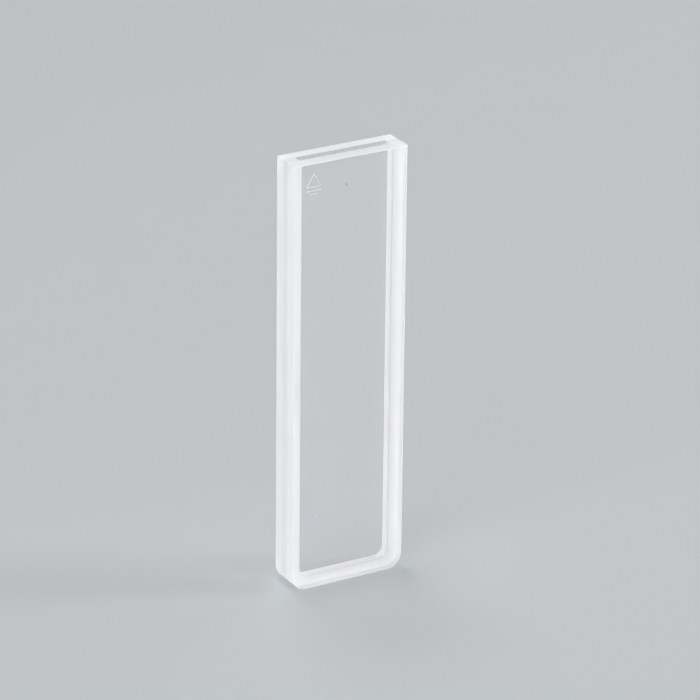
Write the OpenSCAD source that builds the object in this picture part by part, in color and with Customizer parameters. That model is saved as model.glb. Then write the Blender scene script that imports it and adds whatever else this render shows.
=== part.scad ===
// Flat spectroscopy cell (cuvette) of fused quartz, standing on its base.
// Two polished window plates are fused to the two faces of a U-shaped spacer plate.
// The spacer's thickness is the light path, and the U is open at the top.
// X runs across the width, Y along the light, and Z up. The origin is the centre of the base.

/* [Outside] */
// Height of the cell, from its base to its rim
cell_h = 45; // [25:1:60]
// Width of the cell, between its two ground sides
cell_w = 12.5; // [8:0.5:20]
// Radius of the two outer bottom corners
corner_r = 1.6; // [0.4:0.1:3]

/* [Windows] */
// Thickness of each window plate
window_t = 1.25; // [0.8:0.05:2]
// Width of the ground arris round the outer face of each window
arris = 0.15; // [0.05:0.05:0.4]

/* [Spacer] */
// Thickness of the spacer, which is the light path
spacer_t = 1; // [0.5:0.1:5]
// Width of each leg of the spacer
leg_w = 1.25; // [0.8:0.05:2]
// Height of the bottom bar of the spacer, under the cavity
floor_h = 1; // [0.6:0.1:3]
// Radius of the two bottom corners of the cavity
cavity_r = 1; // [0.2:0.1:2]

/* [Hidden] */
// Facets of a full circle
$fn = 96;
// How far a cutter reaches past the surface that it cuts
over = 0.2;
half_w = cell_w / 2;
cavity_w = cell_w - 2 * leg_w;

// An upright strip with its base at y = 0, whose two bottom corners have radius r
module round_footed(w, h, r) {
    translate([-w / 2, r]) square([w, h - r]);
    translate([r - w / 2, 0]) square([w - 2 * r, 2 * r]);
    for (side = [-1, 1])
        translate([side * (w / 2 - r), r]) circle(r);
}

// The outline that all three plates share
module outline() {
    round_footed(cell_w, cell_h, corner_r);
}

// Stands a flat shape up as a plate that reaches from y = 0 to y = t
module upright(t) {
    translate([0, t, 0])
        rotate([90, 0, 0])
            linear_extrude(t)
                children();
}

// Section of the arris cutter: x is the way in from the edge, y the way in from the face
module arris_section() {
    polygon([[-over, -over], [arris + over, -over], [-over, arris + over]]);
}

// Cutter that grinds the arris round the face at y = 0, along each edge and each round corner
module arris_cutter() {
    translate([-half_w - over, 0, cell_h])
        rotate([0, 90, 0])
            linear_extrude(cell_w + 2 * over)
                arris_section();
    translate([half_w - corner_r, 0, 0])
        rotate([0, -90, 0])
            linear_extrude(cell_w - 2 * corner_r)
                arris_section();
    for (side = [0, 1])
        mirror([side, 0, 0]) {
            translate([-half_w, 0, corner_r])
                linear_extrude(cell_h - corner_r + over)
                    arris_section();
            translate([half_w - corner_r, 0, corner_r])
                rotate([-90, 0, 0])
                    rotate_extrude(angle = 90)
                        translate([corner_r, 0])
                            mirror([1, 0])
                                arris_section();
        }
}

// One window plate, with its outer face at y = 0 and its bonded face at y = window_t
module window_plate() {
    difference() {
        upright(window_t) outline();
        arris_cutter();
    }
}

// Polished plate on the side where the light comes in
module front_window() {
    color([0.80, 0.82, 0.83, 0.4])
        translate([0, -spacer_t / 2 - window_t, 0])
            window_plate();
}

// The same plate turned round, on the side where the light goes out
module back_window() {
    color([0.80, 0.82, 0.83, 0.4])
        mirror([0, 1, 0])
            translate([0, -spacer_t / 2 - window_t, 0])
                window_plate();
}

// U-shaped plate between the windows: two legs, a bottom bar and the cavity that they enclose
module spacer_frame() {
    color([0.92, 0.93, 0.93])
        translate([0, -spacer_t / 2, 0])
            upright(spacer_t)
                difference() {
                    outline();
                    translate([0, floor_h])
                        round_footed(cavity_w, cell_h - floor_h + over, cavity_r);
                }
}

front_window();
spacer_frame();
back_window();
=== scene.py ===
# %% [markdown]
# # A short-path cuvette of fused quartz
# A cuvette holds a liquid sample in the beam of a spectrophotometer. This one is a flat cell with a
# light path of one millimetre. Two clear polished windows are fused to a U-shaped spacer, and every
# edge of the three plates is ground to a white frost. The cells below dress the plain solids of the
# frame: first their sizes are read, then each finish is made as a material, and then each plate is
# worked out as a grid of points. A mark, some dust, a floor, the lamps and a camera come last.

import bpy
import numpy as np
from mathutils import Matrix


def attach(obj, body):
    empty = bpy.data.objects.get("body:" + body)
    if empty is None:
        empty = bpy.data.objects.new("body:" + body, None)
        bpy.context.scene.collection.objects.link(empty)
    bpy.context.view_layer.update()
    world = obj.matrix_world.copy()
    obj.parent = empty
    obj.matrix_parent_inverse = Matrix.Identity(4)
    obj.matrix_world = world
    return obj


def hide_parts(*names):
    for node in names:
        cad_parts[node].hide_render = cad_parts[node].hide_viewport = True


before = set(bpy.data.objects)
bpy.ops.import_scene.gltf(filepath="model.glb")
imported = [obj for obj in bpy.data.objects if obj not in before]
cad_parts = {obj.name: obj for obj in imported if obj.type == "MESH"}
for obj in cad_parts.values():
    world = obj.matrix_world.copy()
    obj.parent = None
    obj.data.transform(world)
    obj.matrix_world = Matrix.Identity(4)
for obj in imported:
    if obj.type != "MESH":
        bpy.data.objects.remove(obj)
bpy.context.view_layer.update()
MM = 0.001
print("solids in the frame:", sorted(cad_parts))

# %% [markdown]
# ## Sizes
# Nothing here is typed in twice. Each size is read off the corners of the solids, in millimetres, so
# the dressed plates stay right if the solids change. The windows lie on both sides of the plane
# y = 0, and the spacer lies between them.

# %% Sizes read from the solids
SAME_LEVEL_MM = 0.01


def corners_mm(node):
    """All the corners of a solid, one row of x, y and z each, in millimetres."""
    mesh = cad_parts[node].data
    flat = np.empty(len(mesh.vertices) * 3, np.float32)
    mesh.vertices.foreach_get("co", flat)
    return flat.reshape(-1, 3).astype(float) / MM


def at(values, level):
    """Which of the values lie on a level, within a hundredth of a millimetre."""
    return np.abs(values - level) < SAME_LEVEL_MM


window_x, window_y, window_z = corners_mm("front_window").T
spacer_x, _, spacer_z = corners_mm("spacer_frame").T
half_w, cell_h = window_x.max(), window_z.max()
face_y, bond_y = -window_y.min(), -window_y.max()
arris = half_w - window_x[at(window_y, -face_y)].max()
foot_r = spacer_z[at(spacer_x, half_w)].min()
cavity_half_w = np.abs(spacer_x[at(spacer_z, cell_h)]).min()
over_the_foot = (np.abs(spacer_x) < half_w - foot_r) & (spacer_z > SAME_LEVEL_MM)
floor_h = spacer_z[over_the_foot].min()
cavity_r = spacer_z[at(np.abs(spacer_x), cavity_half_w)].min() - floor_h
print(f"cell {2 * half_w:.2f} x {2 * face_y:.2f} x {cell_h:.2f} mm, light path {2 * bond_y:.2f} mm")
print(f"arris {arris:.2f}, foot radius {foot_r:.2f}, cavity {2 * cavity_half_w:.2f} wide, "
      f"bar {floor_h:.2f}, cavity radius {cavity_r:.2f} mm")

# %% [markdown]
# ## One outline for every plate
# All the plates are cut to the same upright strip with two round feet, and the cavity is the same
# kind of strip, only smaller. One function gives the points along such a strip and, at each point,
# the direction that leads into it. Moving every point the same way along its direction gives a
# smaller strip with concentric corners, which is how an arris or a groove follows an edge.

# %% The outline and its inward directions
SIDE_STEPS, CORNER_STEPS, FOOT_STEPS = 90, 16, 13
ACROSS = 2 * FOOT_STEPS - 1
DOWN = SIDE_STEPS + CORNER_STEPS + 1


def strip(edge_x, foot_z, top_z, radius):
    """Points (x, z) down the left side of a strip, along its foot and up its right side, and the
    inward direction at each. On the side x = -edge_x. Round the corner the points are the centre
    minus radius times (cos a, sin a), for a from 0 to a quarter turn. On the foot z = foot_z. The
    right half mirrors the left."""
    a = np.linspace(0, np.pi / 2, CORNER_STEPS, endpoint=False)
    down = np.linspace(top_z, foot_z + radius, SIDE_STEPS, endpoint=False)
    along = np.linspace(radius - edge_x, 0, FOOT_STEPS)
    x = np.concatenate([np.full(SIDE_STEPS, -edge_x), radius - edge_x - radius * np.cos(a), along])
    z = np.concatenate([down, foot_z + radius - radius * np.sin(a), np.full(FOOT_STEPS, foot_z)])
    in_x = np.concatenate([np.ones(SIDE_STEPS), np.cos(a), np.zeros(FOOT_STEPS)])
    in_z = np.concatenate([np.zeros(SIDE_STEPS), np.sin(a), np.ones(FOOT_STEPS)])
    left = np.stack([x, z, in_x, in_z])
    right = left[:, -2::-1] * np.array([[-1], [1], [-1], [1]])
    both = np.concatenate([left, right], axis=1)
    return both[:2].T, both[2:].T


def closed_strip(edge_x, foot_z, top_z, radius):
    """The same strip closed along its top edge, in proportion: a point of the side also moves down
    by its share of the side's height, and a point of the top moves in by x over edge_x. The two
    top corners then move one step in from each edge, and no ring of points folds over itself."""
    points, inward = strip(edge_x, foot_z, top_z, radius)
    share = (points[:, 1] - foot_z - radius) / (top_z - foot_z - radius)
    inward[:, 1] -= np.clip(share, 0, 1)
    back = np.linspace(edge_x, -edge_x, ACROSS)[1:-1]
    top = np.stack([back, np.full(ACROSS - 2, top_z)], axis=1)
    top_in = np.stack([-back / edge_x, np.full(ACROSS - 2, -1.0)], axis=1)
    return np.concatenate([points, top]), np.concatenate([inward, top_in])


outline, outline_in = closed_strip(half_w, 0, cell_h, foot_r)
print(len(outline), "points round the plates' outline")

# %% [markdown]
# ## Turning rings of points into a closed skin
# Every plate is a stack of rings, and each ring goes once round the solid. The skin joins each ring
# to the next with four-sided faces. A flat face of a window is filled with a grid that hangs between
# the left side, the foot, the right side and the top of its ring, because one face with hundreds of
# corners would be cut into slivers.


# %% Faces of a skin
def between_rings(count, around):
    """Face i, j joins points j and j + 1 of ring i to the same points of ring i + 1."""
    here = np.arange(count * around).reshape(count, around)
    there = np.roll(here, -1, axis=1)
    return np.stack([here[:-1], there[:-1], there[1:], here[1:]], axis=-1).reshape(-1, 4)


def across_ring(ring, first, next_free):
    """Fills a closed strip. Grid point i, j lies at height i of the left side, a share j of the way
    from the left side to the right. Its rim is the ring, whose numbers start at first. Gives the
    new inner points, numbered from next_free, and the faces."""
    last = 2 * DOWN + ACROSS - 3
    number = np.empty((DOWN, ACROSS), int)
    number[:, 0] = first + np.arange(DOWN)
    number[:, -1] = first + last - np.arange(DOWN)
    number[-1] = first + DOWN - 1 + np.arange(ACROSS)
    number[0, 1:-1] = first + last + ACROSS - 2 - np.arange(ACROSS - 2)
    inner = (DOWN - 2, ACROSS - 2)
    number[1:-1, 1:-1] = next_free + np.arange(inner[0] * inner[1]).reshape(inner)
    share = np.linspace(0, 1, ACROSS)[None, 1:-1, None]
    left, right = ring[1 : DOWN - 1], ring[last - np.arange(1, DOWN - 1)]
    points = left[:, None] * (1 - share) + right[:, None] * share
    grid = [number[:-1, :-1], number[:-1, 1:], number[1:, 1:], number[1:, :-1]]
    return points.reshape(-1, 3), np.stack(grid, axis=-1).reshape(-1, 4)


print(len(between_rings(2, len(outline))), "faces between two rings of the outline")

# %% [markdown]
# ## From a skin to an object
# A skin has its faces outwards when the volume inside it comes out positive, so that volume is
# measured, and the faces are turned round if it has to be. An object stays at the origin, unturned,
# and its place is in its corners. Only edges that turn sharply are shaded as edges.

# %% Volume and object
ROUND_BELOW_DEGREES = 35


def volume_inside(corners, faces):
    """Signed volume: each face is a fan of triangles, and each triangle spans a sixth of the triple
    product of its corners."""
    total = 0.0
    for size in {len(face) for face in faces}:
        group = corners[np.array([face for face in faces if len(face) == size])]
        for k in range(1, size - 1):
            total += np.einsum("ij,ij->", group[:, 0], np.cross(group[:, k], group[:, k + 1])) / 6
    return total


def new_piece(name, corners, faces, finishes, finish_of_face):
    """A mesh object at the origin, with its place in its corners and one finish number for each
    face. Edges that turn by less than ROUND_BELOW_DEGREES are shaded as round."""
    mesh = bpy.data.meshes.new(name)
    mesh.from_pydata((corners * MM).tolist(), [], faces)
    for finish in finishes:
        mesh.materials.append(finish)
    mesh.polygons.foreach_set("material_index", np.asarray(finish_of_face, np.int32))
    mesh.polygons.foreach_set("use_smooth", np.ones(len(faces), bool))
    mesh.set_sharp_from_angle(angle=np.radians(ROUND_BELOW_DEGREES))
    piece = bpy.data.objects.new(name, mesh)
    bpy.context.scene.collection.objects.link(piece)
    return piece


def carry(piece, attribute, values):
    """Stores one number for each corner of a piece, under a name that a material can ask for."""
    layer = piece.data.attributes.new(attribute, "FLOAT", "POINT")
    layer.data.foreach_set("value", np.asarray(values, np.float32))


# %% [markdown]
# ## Colours and nodes
# A colour is written as the hex value that a screen shows, and one function turns it into the linear
# values that the shaders work with. One more function adds a node to a material, with its settings
# and with what goes into each of its sockets.


# %% Helpers for materials
def linear(hex_colour):
    """The linear red, green, blue and alpha of a hex colour, by the standard screen curve."""
    screen = np.array([int(hex_colour[i : i + 2], 16) for i in (1, 3, 5)]) / 255
    light = np.where(screen <= 0.04045, screen / 12.92, ((screen + 0.055) / 1.055) ** 2.4)
    return (*light.tolist(), 1.0)


def add(tree, kind, settings, inputs):
    """Adds a node. Each input, by name or number, is a plain value or another node's output."""
    node = tree.nodes.new(kind)
    for name, value in settings.items():
        setattr(node, name, value)
    for name, value in inputs.items():
        if isinstance(value, bpy.types.NodeSocket):
            tree.links.new(value, node.inputs[name])
        else:
            node.inputs[name].default_value = value
    return node


def new_finish(name):
    """A material with nothing in it yet, its node tree, and the place on the object for patterns."""
    material = bpy.data.materials.new(name)
    material.use_nodes = True
    tree = material.node_tree
    tree.nodes.clear()
    place = add(tree, "ShaderNodeTexCoord", {}, {})
    return material, tree, place.outputs["Object"]


SILICA_IOR = 1.4585
print("white in linear light:", linear("#FFFFFF"))

# %% [markdown]
# ## Polished fused silica
# Fused silica is the clearest of glasses and bends light less than window glass, with an index of
# 1.4585. The plates are polished flat, so they show no ripple. Only along the edges does the
# grinding creep on to the polished face, as a haze that dies away within a third of a millimetre.
# Each plate carries its distance in from the edge as an attribute, and the haze reads that.
#
# Faces that have been handled carry a faint bloom, so a few hundredths of the light is scattered
# white in place of passing.
#
# A lamp's light finds no way through glass that bends it, so for the rays that look for a lamp the
# glass is a clear filter instead. It passes less the more they slant, as a real plate does.

# %% The polished finish
HAZE_WIDTH_MM = 0.30
HAZE_START_MM, HAZE_ROUGHNESS = 0.12, 0.5
SPECKLE_MM = 0.12
CLEAR_SHARE = 0.96
SLANT_LOSS_POWER = 2.5


def polished_silica():
    """Clear glass. Its roughness falls smoothly from HAZE_ROUGHNESS to 0 while the distance from the
    edge plus half a speckle grows from HAZE_START_MM by HAZE_WIDTH_MM."""
    material, tree, place = new_finish("polished_fused_silica")
    from_edge = add(tree, "ShaderNodeAttribute", {"attribute_name": "from_edge"}, {})
    speckle = add(
        tree, "ShaderNodeTexNoise", {},
        {"Vector": place, "Scale": 1 / (SPECKLE_MM * MM), "Detail": 2.0},
    )
    uneven = add(
        tree, "ShaderNodeMath", {"operation": "MULTIPLY_ADD"},
        {0: speckle.outputs["Fac"], 1: 0.5, 2: from_edge.outputs["Fac"]},
    )
    haze = add(
        tree, "ShaderNodeMapRange", {"interpolation_type": "SMOOTHSTEP"},
        {
            "Value": uneven.outputs[0],
            "From Min": HAZE_START_MM, "From Max": HAZE_START_MM + HAZE_WIDTH_MM,
            "To Min": HAZE_ROUGHNESS, "To Max": 0.0,
        },
    )
    glass = add(
        tree, "ShaderNodeBsdfPrincipled", {},
        {
            "Base Color": linear("#FFFEFF"), "Roughness": haze.outputs["Result"],
            "IOR": SILICA_IOR, "Transmission Weight": CLEAR_SHARE,
        },
    )
    slant = add(tree, "ShaderNodeLayerWeight", {}, {"Blend": 0.5})
    lost = add(
        tree, "ShaderNodeMath", {"operation": "POWER"},
        {0: slant.outputs["Facing"], 1: SLANT_LOSS_POWER},
    )
    passed = add(
        tree, "ShaderNodeMix", {"data_type": "RGBA"},
        {"Factor": lost.outputs[0], 6: linear("#FFFFFF"), 7: linear("#000000")},
    )
    to_a_lamp = add(tree, "ShaderNodeLightPath", {}, {})
    clear = add(tree, "ShaderNodeBsdfTransparent", {}, {"Color": passed.outputs[2]})
    either = add(
        tree, "ShaderNodeMixShader", {},
        {0: to_a_lamp.outputs["Is Shadow Ray"], 1: glass.outputs[0], 2: clear.outputs[0]},
    )
    add(tree, "ShaderNodeOutputMaterial", {}, {"Surface": either.outputs[0]})
    return material


polished = polished_silica()
print("finish:", polished.name)

# %% [markdown]
# ## Ground fused silica
# Grinding with fine grit leaves the same glass white: each pit scatters the light, so a ground edge
# is bright from every side and also glows with the light that comes through it. The grit is about 30
# micrometres, too fine to show when the whole cell is in view, so the pits are drawn at a tenth of a
# millimetre. The strokes of the grinding run along the plates, and show as faint streaks.
#
# How white a ground face looks depends on how much light wanders about in the glass behind it. A
# surface knows nothing of that, so the light and shade are painted in: each part of the cell has its
# own pair of whites, lighter and darker copies of one ground finish. The edges of the front window
# have painted shade and those of the back window painted light. Their foot and right edges, which
# are seen through the length or the width of the plate, have a painted glow. The spacer has painted
# shade where it lies free, the wall of the cavity has painted light, and the faces that are fused to
# a window have painted light for what comes through it. A fused face has painted shade next to the
# cavity.

# %% The ground finish
GRIT_MM, STROKE_MM = 0.1, 0.35
STROKE_SQUEEZE = 0.03
PIT_DEPTH_MM = 0.03
SMOOTHEST, ROUGHEST = 0.5, 0.75
# painted shade: the grey that a face turns to next to the cavity
PAINTED_CAVITY_SHADE = "#D8D9DA"
TO_A_LAMP = "#707070"


def ground_silica(name, darkest, lightest, through):
    """White glass: a mix of the darkest and the lightest white by the strokes of the grinding, plus
    the light from behind times through. The whites are painted lighter or darker for the light on
    the part; next to the cavity they turn to a painted shade as the cavity's attribute goes to 1."""
    material, tree, place = new_finish(name)
    grit = add(
        tree, "ShaderNodeTexNoise", {},
        {"Vector": place, "Scale": 1 / (GRIT_MM * MM), "Detail": 3.0},
    )
    long_way = add(
        tree, "ShaderNodeMapping", {}, {"Vector": place, "Scale": (1.0, 1.0, STROKE_SQUEEZE)}
    )
    stroke = add(
        tree, "ShaderNodeTexNoise", {},
        {"Vector": long_way.outputs[0], "Scale": 1 / (STROKE_MM * MM), "Detail": 3.0},
    )
    white = add(
        tree, "ShaderNodeMix", {"data_type": "RGBA"},
        {"Factor": stroke.outputs["Fac"], 6: linear(darkest), 7: linear(lightest)},
    )
    painted_cavity_shade = add(tree, "ShaderNodeAttribute", {"attribute_name": "painted_cavity_shade"}, {})
    shaded = add(
        tree, "ShaderNodeMix", {"data_type": "RGBA"},
        {"Factor": painted_cavity_shade.outputs["Fac"], 6: white.outputs[2], 7: linear(PAINTED_CAVITY_SHADE)},
    )
    rough = add(
        tree, "ShaderNodeMapRange", {},
        {
            "Value": grit.outputs["Fac"], "From Min": 0.3, "From Max": 0.7,
            "To Min": SMOOTHEST, "To Max": ROUGHEST,
        },
    )
    pits = add(
        tree, "ShaderNodeBump", {},
        {"Height": grit.outputs["Fac"], "Strength": 0.2, "Distance": PIT_DEPTH_MM * MM},
    )
    frost = add(
        tree, "ShaderNodeBsdfPrincipled", {},
        {
            "Base Color": shaded.outputs[2], "Roughness": rough.outputs["Result"],
            "IOR": SILICA_IOR, "Normal": pits.outputs["Normal"],
        },
    )
    let_in = add(tree, "ShaderNodeBsdfTranslucent", {}, {"Color": linear(through)})
    glowing = add(tree, "ShaderNodeAddShader", {}, {0: frost.outputs[0], 1: let_in.outputs[0]})
    filtering = add(tree, "ShaderNodeBsdfTransparent", {}, {"Color": linear(TO_A_LAMP)})
    to_a_lamp = add(tree, "ShaderNodeLightPath", {}, {})
    either = add(
        tree, "ShaderNodeMixShader", {},
        {0: to_a_lamp.outputs["Is Shadow Ray"], 1: glowing.outputs[0], 2: filtering.outputs[0]},
    )
    add(tree, "ShaderNodeOutputMaterial", {}, {"Surface": either.outputs[0]})
    return material


# Painted light and shade: one ground finish in lighter and darker copies. The front window's edges have
# painted shade, the back window's painted light, the foot and right edges a painted glow, the spacer's free
# faces painted shade, and the cavity wall and the fused faces painted light.
front_edge_painted_shade = ground_silica("ground_front_edge_painted_shade", "#E0E1E2", "#F0F0F1", "#B0B0B0")
back_edge_painted_light = ground_silica("ground_back_edge_painted_light", "#E7E8E9", "#F7F7F8", "#B8B8B8")
edge_painted_glow = ground_silica("ground_edge_painted_glow", "#EDEEEF", "#FAFAFB", "#B0B0B0")
ground_spacer_painted_shade = ground_silica("ground_spacer_painted_shade", "#C8C9CA", "#D8D8D9", "#A0A0A0")
cavity_wall_painted_light = ground_silica("cavity_wall_painted_light", "#F0F1F0", "#FDFEFD", "#BCBCBC")
fused_face_painted_light = ground_silica("fused_face_painted_light", "#E3E4E3", "#F3F4F3", "#B4B4B4")
print("finishes:", [material.name for material in bpy.data.materials])

# %% [markdown]
# ## The window plates
# A window is a stack of rings of the outline. Each ring is moved in from the edge by some distance
# and lies at some depth behind the outer face. From the middle of the outer face outwards they are
# the clear face, the edge of the haze, the ground arris, the ground side, a fine groove along the
# seam with the spacer, and the inner face. Both flat faces are polished and all the edges are
# ground. The arris is somewhat narrower than the solid's and, as it is ground by hand, its width
# wanders. The groove is deeper at the front seam, and it all but closes at the rim, because the
# three plates are ground flush there after they are fused.

# %% The rings of a window
FRONT_SEAM_MM, BACK_SEAM_MM, RIM_SEAM_MM = 0.09, 0.04, 0.01
CLEAR_IN_MM = 0.9
ARRIS_SHARE, WANDER_SHARE = 0.65, 0.06
on_rim = outline[:, 1] == cell_h
on_foot = outline_in[:, 1] == 1
on_right_side = (outline[:, 0] == half_w) & ~on_rim


def wander(count, seed):
    """A slow random wave of mean 0 and size about 1: five sines round the outline."""
    draw = np.random.default_rng(seed)
    turn = np.arange(count) / count * 2 * np.pi
    waves = np.arange(3, 40, 8)
    return np.sin(waves * turn[:, None] + draw.uniform(0, 2 * np.pi, len(waves))).sum(axis=1) / 2


def window_rings(facing, seam_mm, seed):
    """Seven rings of one plate, and how far each point of the first five lies in from the arris. A
    ring's points are the outline moved in by an inset, and y = facing times the ring's distance from
    the middle plane of the cell."""
    around = len(outline)
    width = ARRIS_SHARE * arris * (1 + WANDER_SHARE * wander(around, seed))
    edge, clear = np.zeros(around), np.full(around, CLEAR_IN_MM)
    face, bond = np.full(around, face_y), np.full(around, bond_y)
    seam = np.where(on_rim, RIM_SEAM_MM, seam_mm)
    stack = [
        (clear, face), (width + HAZE_WIDTH_MM, face), (width, face), (edge, face - width),
        (edge, bond + seam), (seam, bond), (clear, bond),
    ]
    rings = [
        np.insert(outline + inset[:, None] * outline_in, 1, facing * y, axis=1) for inset, y in stack
    ]
    return np.array(rings), np.concatenate([inset - width for inset, _ in stack[:5]])


print(f"points: {on_rim.sum()} on the rim, {on_foot.sum()} on the foot, {on_right_side.sum()} on the right")

# %% Two windows, front and back
POLISHED, GROUND, GROUND_PAINTED_GLOW = 0, 1, 2


def window(name, facing, seam_mm, ground, seed):
    """The skin of the rings, closed by a grid over the first and the last. The three bands of faces
    between the haze and the inner face are ground, with a painted glow on the foot and the right."""
    rings, from_arris = window_rings(facing, seam_mm, seed)
    count, around = rings.shape[:2]
    corners, quads = rings.reshape(-1, 3), between_rings(count, around)
    outer, outer_faces = across_ring(rings[0], 0, len(corners))
    inner, inner_faces = across_ring(rings[-1], (count - 1) * around, len(corners) + len(outer))
    corners = np.concatenate([corners, outer, inner])
    faces = np.concatenate([quads, outer_faces, inner_faces[:, ::-1]])
    band_finish = np.full((count - 1, around), POLISHED)
    band_finish[2:5] = GROUND
    # painted glow: the foot and the right edges get a whiter white for the light that wanders in the glass
    band_finish[2:5, on_right_side | on_foot] = GROUND_PAINTED_GLOW
    finish = np.concatenate([band_finish.ravel(), np.full(2 * len(outer_faces), POLISHED)])
    volume = volume_inside(corners, faces.tolist())
    outwards = faces[:, :: int(np.sign(volume))].tolist()
    piece = new_piece(name, corners, outwards, [polished, ground, edge_painted_glow], finish)
    from_edge = np.full(len(corners), CLEAR_IN_MM)
    from_edge[: len(from_arris)] = from_arris
    carry(piece, "from_edge", from_edge)
    print(f"{name}: {len(faces)} faces, {abs(volume):.1f} mm3")
    return piece


front_plate = window("front_window_plate", -1, FRONT_SEAM_MM, front_edge_painted_shade, 11)
back_plate = window("back_window_plate", 1, BACK_SEAM_MM, back_edge_painted_light, 12)

# %% [markdown]
# ## The spacer
# The spacer is one U-shaped plate. Its section is a rectangle, and the rectangle is carried down the
# left leg, along the bottom bar and up the right leg: at each step it spans from a point of the
# outer outline to the matching point of the cavity's outline. All its faces are ground, and a hair's
# breadth of air keeps the two wide ones off the windows' faces, which would otherwise lie in the
# same place. The free faces have painted shade, and these two and the wall of the cavity have
# painted whites of their own. The wall's painted light is whitest along the legs, where it is lit
# through both windows. At the mouth it looks like the free faces, and on top of the bar like the
# fused ones. Painted shade darkens the front face towards the cavity, and the wall towards the front.

# %% The section of the spacer
BOND_GAP_MM = 0.01
FRONT_EASED_MM, BACK_EASED_MM = 0.05, 0.02
# painted shade: the front face darkens over this width towards the cavity
SHADED_MM = 0.65
# finishes: the free faces with painted shade, the wall and the fused faces with painted light
FREE_PAINTED_SHADE, WALL_PAINTED_LIGHT, FUSED_PAINTED_LIGHT = 0, 1, 2
SECTION_FINISH = [FREE_PAINTED_SHADE, FREE_PAINTED_SHADE, FREE_PAINTED_SHADE, FUSED_PAINTED_LIGHT, WALL_PAINTED_LIGHT, WALL_PAINTED_LIGHT, FREE_PAINTED_SHADE, FUSED_PAINTED_LIGHT, FUSED_PAINTED_LIGHT]
# where the painted shade of the cavity lies, one number for each point of the section
SECTION_SHADE = [0, 0, 0, 0, 0, 0, 1, 1, 0]
WALL_FACE = 5


def spacer_rings():
    """One ring at each step, of nine points: the rectangle between the outer point and the cavity
    point, with its corners cut by the seam's groove outside and by a slight easing inside, and one
    more point on its front face, where the painted shade of the cavity ends."""
    outer, outer_in = strip(half_w, 0, cell_h, foot_r)
    cavity, cavity_in = strip(cavity_half_w, floor_h, cell_h, cavity_r)
    half_t = bond_y - BOND_GAP_MM
    section = [
        (outer, outer_in, FRONT_SEAM_MM, -half_t),
        (outer, outer_in, 0, FRONT_SEAM_MM - half_t),
        (outer, outer_in, 0, half_t - BACK_SEAM_MM),
        (outer, outer_in, BACK_SEAM_MM, half_t),
        (cavity, -cavity_in, BACK_EASED_MM, half_t),
        (cavity, -cavity_in, 0, half_t - BACK_EASED_MM),
        (cavity, -cavity_in, 0, FRONT_EASED_MM - half_t),
        (cavity, -cavity_in, FRONT_EASED_MM, -half_t),
        (cavity, -cavity_in, SHADED_MM, -half_t),
    ]
    rings = [np.insert(edge + move * inward, 1, y, axis=1) for edge, inward, move, y in section]
    return np.stack(rings, axis=1), cavity_in[:, 1] == 1


# %% The U-shaped spacer
def spacer():
    """The skin of the rings, closed by one face at the top of each leg. A face has the painted white
    of its place in the section, apart from the wall's faces at the mouth and on the bar. The points
    carry where the painted shade of the cavity lies."""
    rings, on_bar = spacer_rings()
    count, around = rings.shape[:2]
    corners, quads = rings.reshape(-1, 3), between_rings(count, around)
    ends = [list(range(around))[::-1], list(range((count - 1) * around, count * around))]
    faces = quads.tolist() + ends
    volume = volume_inside(corners, faces)
    if volume < 0:
        faces = [face[::-1] for face in faces]
    step_finish = np.tile(SECTION_FINISH, (count - 1, 1))
    # the wall's painted light stays along the legs; at the mouth and on the bar it takes the free and the
    # fused faces' painted whites
    step_finish[[0, -1], WALL_FACE] = FREE_PAINTED_SHADE
    step_finish[on_bar[:-1], WALL_FACE] = FUSED_PAINTED_LIGHT
    finish = np.concatenate([step_finish.ravel(), [FREE_PAINTED_SHADE, FREE_PAINTED_SHADE]])
    piece = new_piece("spacer_plate", corners, faces, [ground_spacer_painted_shade, cavity_wall_painted_light, fused_face_painted_light], finish)
    # painted shade next to the cavity, carried by the points of the section
    carry(piece, "painted_cavity_shade", np.tile(SECTION_SHADE, count))
    print(f"spacer_plate: {len(faces)} faces, {abs(volume):.1f} mm3")
    return piece


spacer_plate = spacer()

# %% [markdown]
# ## The mark
# A small plain mark is etched into the front face near its top left corner: a triangle over two
# short bars, as a sign of which way round the cell goes into its holder. An etched line is ground
# glass too, so each line is a bar of the ground finish, a few hundredths of a millimetre wide and so
# thin that it lies in the face.

# %% Thin shapes in the front face
LINE_MM, PROUD_MM = 0.06, 0.003


def in_the_face(name, shapes, finish):
    """Each shape is a loop of points (x, z), counter-clockwise as seen from the front. It becomes a
    plate whose front lies just proud of the front face, and whose back lies as far behind it."""
    corners, faces = [], []
    for loop in shapes:
        first, count = len(corners), len(loop)
        corners += [(x, -face_y - PROUD_MM, z) for x, z in loop]
        corners += [(x, -face_y + PROUD_MM, z) for x, z in loop]
        faces.append(list(range(first, first + count)))
        faces.append(list(range(first + count, first + 2 * count))[::-1])
        for i in range(count):
            j = (i + 1) % count
            faces.append([first + j, first + i, first + count + i, first + count + j])
    piece = new_piece(name, np.array(corners), faces, [finish], np.zeros(len(faces)))
    print(f"{name}: {len(shapes)} shapes, {abs(volume_inside(np.array(corners), faces)):.5f} mm3")
    return piece


def bar(start, end):
    """The four corners of a straight line of the mark: both ends, half a line width to each side."""
    start, end = np.array(start), np.array(end)
    along = (end - start) / np.linalg.norm(end - start) * LINE_MM / 2
    side = np.array([along[1], -along[0]])
    return [start - along + side, end + along + side, end + along - side, start - along - side]


# %% The etched mark
MARK_IN_MM, MARK_DOWN_MM = 2.1, 2.0
TIP_UP_MM, BASE_DOWN_MM, HALF_BASE_MM = 0.9, 0.4, 0.8
UPPER_BAR_DOWN_MM, LOWER_BAR_DOWN_MM = 0.8, 1.15
mark_x, mark_z = MARK_IN_MM - half_w, cell_h - MARK_DOWN_MM


def level_bar(down, half_length):
    """A level line of the mark, so far down from its middle and so long to each side."""
    return bar((mark_x - half_length, mark_z - down), (mark_x + half_length, mark_z - down))


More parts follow.
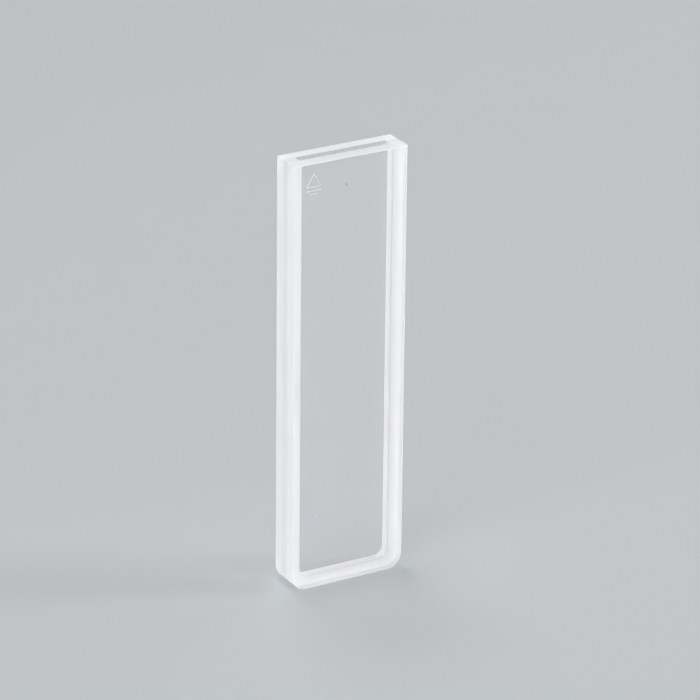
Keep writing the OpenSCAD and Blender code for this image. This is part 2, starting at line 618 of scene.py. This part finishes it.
tip = (mark_x, mark_z + TIP_UP_MM)
left_foot = (mark_x - HALF_BASE_MM, mark_z - BASE_DOWN_MM)
right_foot = (mark_x + HALF_BASE_MM, mark_z - BASE_DOWN_MM)
triangle = [level_bar(BASE_DOWN_MM, HALF_BASE_MM), bar(right_foot, tip), bar(tip, left_foot)]
two_bars = [
    level_bar(UPPER_BAR_DOWN_MM, HALF_BASE_MM), level_bar(LOWER_BAR_DOWN_MM, HALF_BASE_MM / 2)
]
mark = in_the_face("etched_mark", triangle + two_bars, front_edge_painted_shade)

# %% [markdown]
# ## Dust
# One dark and one pale grain of dust lie on the front face. A grain is a flat patch with an uneven
# edge, since nobody sees more of it, and its grey is that of common room dust, dull and opaque. The
# pale grain scatters light as ground glass does, so it has that finish.

# %% Two grains of dust
GRAIN_CORNERS = 8
DARK_GRAIN_MM, DARK_X_MM, DARK_DOWN_MM = 0.09, -0.56, 2.8
PALE_GRAIN_MM, PALE_IN_MM, PALE_UP_MM = 0.08, 2.7, 7.7


def grain(x, z, radius, seed):
    """Points round a grain. Each lies at a random share of its radius, from a half to one and a
    half."""
    a = np.linspace(0, 2 * np.pi, GRAIN_CORNERS, endpoint=False)
    radii = radius * np.random.default_rng(seed).uniform(0.5, 1.5, GRAIN_CORNERS)
    return np.stack([x + radii * np.cos(a), z + radii * np.sin(a)], axis=1)


def dust(name, grey):
    """A dull opaque grey."""
    material, tree, _ = new_finish(name)
    shader = add(tree, "ShaderNodeBsdfPrincipled", {}, {"Base Color": linear(grey), "Roughness": 0.8})
    add(tree, "ShaderNodeOutputMaterial", {}, {"Surface": shader.outputs[0]})
    return material


dark_outline = grain(DARK_X_MM, cell_h - DARK_DOWN_MM, DARK_GRAIN_MM, 3)
pale_outline = grain(PALE_IN_MM - half_w, PALE_UP_MM, PALE_GRAIN_MM, 4)
dark_grain = in_the_face("dark_grain", [dark_outline], dust("dark_dust", "#9A9DA2"))
pale_grain = in_the_face("pale_grain", [pale_outline], front_edge_painted_shade)

# %% [markdown]
# ## Everything joins the frame
# Each piece rides on the cell's only body, so that what is seen and what is weighed and measured
# belong together. Each plate also takes the place of its solid.

# %% Riding and replacing
for piece in (mark, dark_grain, pale_grain):
    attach(piece, "root")
for piece, node, finish in (
    (front_plate, "front_window", "polished_silica"),
    (spacer_plate, "spacer_frame", "ground_silica"),
    (back_plate, "back_window", "polished_silica"),
):
    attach(piece, "root")
    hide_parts(node)
    print(piece.name, "takes the place of", node)

# %% [markdown]
# ## The floor
# The cell stands on a plain pale sheet of matt paper. The sheet is a large disc whose edge is far out
# of sight, with a mottle of a centimetre that is only just there. It lies a fiftieth of a
# millimetre under the foot, so that paper and glass aren't in the same place.

# %% The floor
FLOOR_GAP_MM = 0.02
FLOOR_RADIUS_MM, FLOOR_MIDDLE_MM = 2500, 5
FLOOR_RINGS, FLOOR_AROUND = 24, 64
MOTTLE_MM = 12


def floor_paper():
    """Matt paper: a mix of two pale greys, which are nearly the same, by the mottle."""
    material, tree, place = new_finish("floor_paper")
    mottle = add(
        tree, "ShaderNodeTexNoise", {},
        {"Vector": place, "Scale": 1 / (MOTTLE_MM * MM), "Detail": 4.0},
    )
    tone = add(
        tree, "ShaderNodeMix", {"data_type": "RGBA"},
        {"Factor": mottle.outputs["Fac"], 6: linear("#DBE0E3"), 7: linear("#DDE2E5")},
    )
    shader = add(
        tree, "ShaderNodeBsdfPrincipled", {},
        {"Base Color": tone.outputs[2], "Roughness": 0.55, "Specular IOR Level": 0.3},
    )
    add(tree, "ShaderNodeOutputMaterial", {}, {"Surface": shader.outputs[0]})
    return material


def disc():
    """A flat disc just under z = 0: rings of points at radii that grow by equal factors."""
    radii = np.geomspace(FLOOR_MIDDLE_MM, FLOOR_RADIUS_MM, FLOOR_RINGS)[:, None]
    turn = np.linspace(0, 2 * np.pi, FLOOR_AROUND, endpoint=False)
    height = np.full((FLOOR_RINGS, FLOOR_AROUND), -FLOOR_GAP_MM)
    points = np.stack([radii * np.cos(turn), radii * np.sin(turn), height], axis=-1).reshape(-1, 3)
    rings = between_rings(FLOOR_RINGS, FLOOR_AROUND)[:, ::-1]
    return points, rings.tolist() + [list(range(FLOOR_AROUND))]


floor_points, floor_faces = disc()
floor = new_piece("floor", floor_points, floor_faces, [floor_paper()], np.zeros(len(floor_faces)))
print("floor:", len(floor_faces), "faces")

# %% [markdown]
# ## The lamps
# The light is that of a bright studio with a pale wall all round. Three small lamps overhead make
# the rim white and cast the faint shadows in front of the cell. Two on the right cast the long
# shadow to the left, and large ones on the left and in front fill the rest. All stand equally far
# off, so a lamp's brightness can be given as what it does to a white card.
#
# Glass would show each lamp twice, once by the filter that its rays pass and once by rays that bend
# through and happen to hit it. The second way is turned off, by hiding the lamps from rays that come
# through glass.


# %% Aiming a lamp or a camera
def direction(azimuth, elevation):
    """Unit vector from the cell towards a viewer or a lamp. Azimuth 0 is in front, at -Y."""
    a, e = np.radians([azimuth, elevation])
    return np.array([np.sin(a) * np.cos(e), -np.cos(a) * np.cos(e), np.sin(e)])


def turn_to(thing, forward, roll=0.0):
    """Points a lamp's or camera's -Z along forward, with its top up, turned by roll in degrees. Gives
    its level right and its up."""
    forward = np.asarray(forward) / np.linalg.norm(forward)
    right = np.cross(forward, (0, 0, 1))
    right /= np.linalg.norm(right)
    up = np.cross(right, forward)
    c, s = np.cos(np.radians(roll)), np.sin(np.radians(roll))
    axes = np.eye(4)
    axes[:3, 0], axes[:3, 1], axes[:3, 2] = c * right + s * up, c * up - s * right, -forward
    axes[:3, 3] = thing.location
    thing.matrix_world = Matrix(axes.tolist())
    return right, up


# %% Seven soft lamps
LAMP_DISTANCE_MM = 900


def soft_lamp(name, azimuth, elevation, size_mm, brightness):
    """A square lamp. Brightness is how bright it alone makes a white card that faces it: its power
    over pi squared and over the distance squared."""
    lamp = bpy.data.lights.new(name, "AREA")
    lamp.shape, lamp.size = "SQUARE", size_mm * MM
    lamp.energy = brightness * np.pi**2 * (LAMP_DISTANCE_MM * MM) ** 2
    thing = bpy.data.objects.new(name, lamp)
    thing.location = direction(azimuth, elevation) * LAMP_DISTANCE_MM * MM
    bpy.context.scene.collection.objects.link(thing)
    thing.visible_transmission = False
    turn_to(thing, -np.array(thing.location))


soft_lamp("lamp_over_behind", 175, 68, 250, 0.125)
soft_lamp("lamp_over_middle", -120, 84, 150, 0.135)
soft_lamp("lamp_over_left", -47, 78, 150, 0.055)
soft_lamp("lamp_left", -60, 20, 600, 0.20)
soft_lamp("lamp_right", 65, 22, 220, 0.22)
soft_lamp("lamp_far_right", 95, 25, 600, 0.12)
soft_lamp("lamp_front", 0, 10, 1000, 0.12)
print("lamps:", len(bpy.data.lights))

# %% [markdown]
# ## The wall of the studio
# A pale wall all round is brightest at the horizon and falls off to nothing overhead, where the
# lamps take over. The upward part of the direction of view, from 0 to 1, sets its brightness.

# %% The wall
WALL_LOW, WALL_HIGH = 0.73, 0.0

studio = bpy.data.worlds.new("white_studio")
studio.use_nodes = True
wall = studio.node_tree
toward = add(wall, "ShaderNodeTexCoord", {}, {})
upward = add(wall, "ShaderNodeSeparateXYZ", {}, {0: toward.outputs["Generated"]})
fall_off = add(
    wall, "ShaderNodeMapRange", {},
    {
        "Value": upward.outputs["Z"], "From Min": 0.0, "From Max": 1.0,
        "To Min": WALL_LOW, "To Max": WALL_HIGH,
    },
)
wall.links.new(fall_off.outputs["Result"], wall.nodes["Background"].inputs["Strength"])
wall.nodes["Background"].inputs["Color"].default_value = linear("#FEFEFF")
bpy.context.scene.world = studio
print("wall:", WALL_LOW, "at the horizon,", WALL_HIGH, "overhead")

# %% [markdown]
# ## The camera
# The camera looks down at the cell from the left of the front, through a long lens from about half a
# metre, as small glassware is shown in a catalogue. It first turns to the middle of the cell and
# then a little past it, to the right and up, which sets where the cell stands in the frame.

# %% The camera
VIEW_AZIMUTH, VIEW_ELEVATION, VIEW_ROLL = -29.81, 23.28, 0.61
VIEW_DISTANCE_MM, LENS_MM, SENSOR_MM = 453.3, 237.9, 36
AIM_RIGHT_MM, AIM_UP_MM = 0.91, 1.52
NEAREST_M, FARTHEST_M = 0.01, 20

camera_data = bpy.data.cameras.new("camera")
camera_data.lens, camera_data.sensor_width = LENS_MM, SENSOR_MM
camera_data.clip_start, camera_data.clip_end = NEAREST_M, FARTHEST_M
camera = bpy.data.objects.new("camera", camera_data)
bpy.context.scene.collection.objects.link(camera)
middle = np.array([0, 0, cell_h / 2])
back = direction(VIEW_AZIMUTH, VIEW_ELEVATION)
camera.location = (middle + back * VIEW_DISTANCE_MM) * MM
right, up = turn_to(camera, -back, VIEW_ROLL)
aim = middle + AIM_RIGHT_MM * right + AIM_UP_MM * up
turn_to(camera, aim * MM - np.array(camera.location), VIEW_ROLL)
bpy.context.scene.camera = camera
bpy.context.scene.view_settings.view_transform = "Standard"
print("camera at", [round(v / MM, 1) for v in camera.location], "mm")
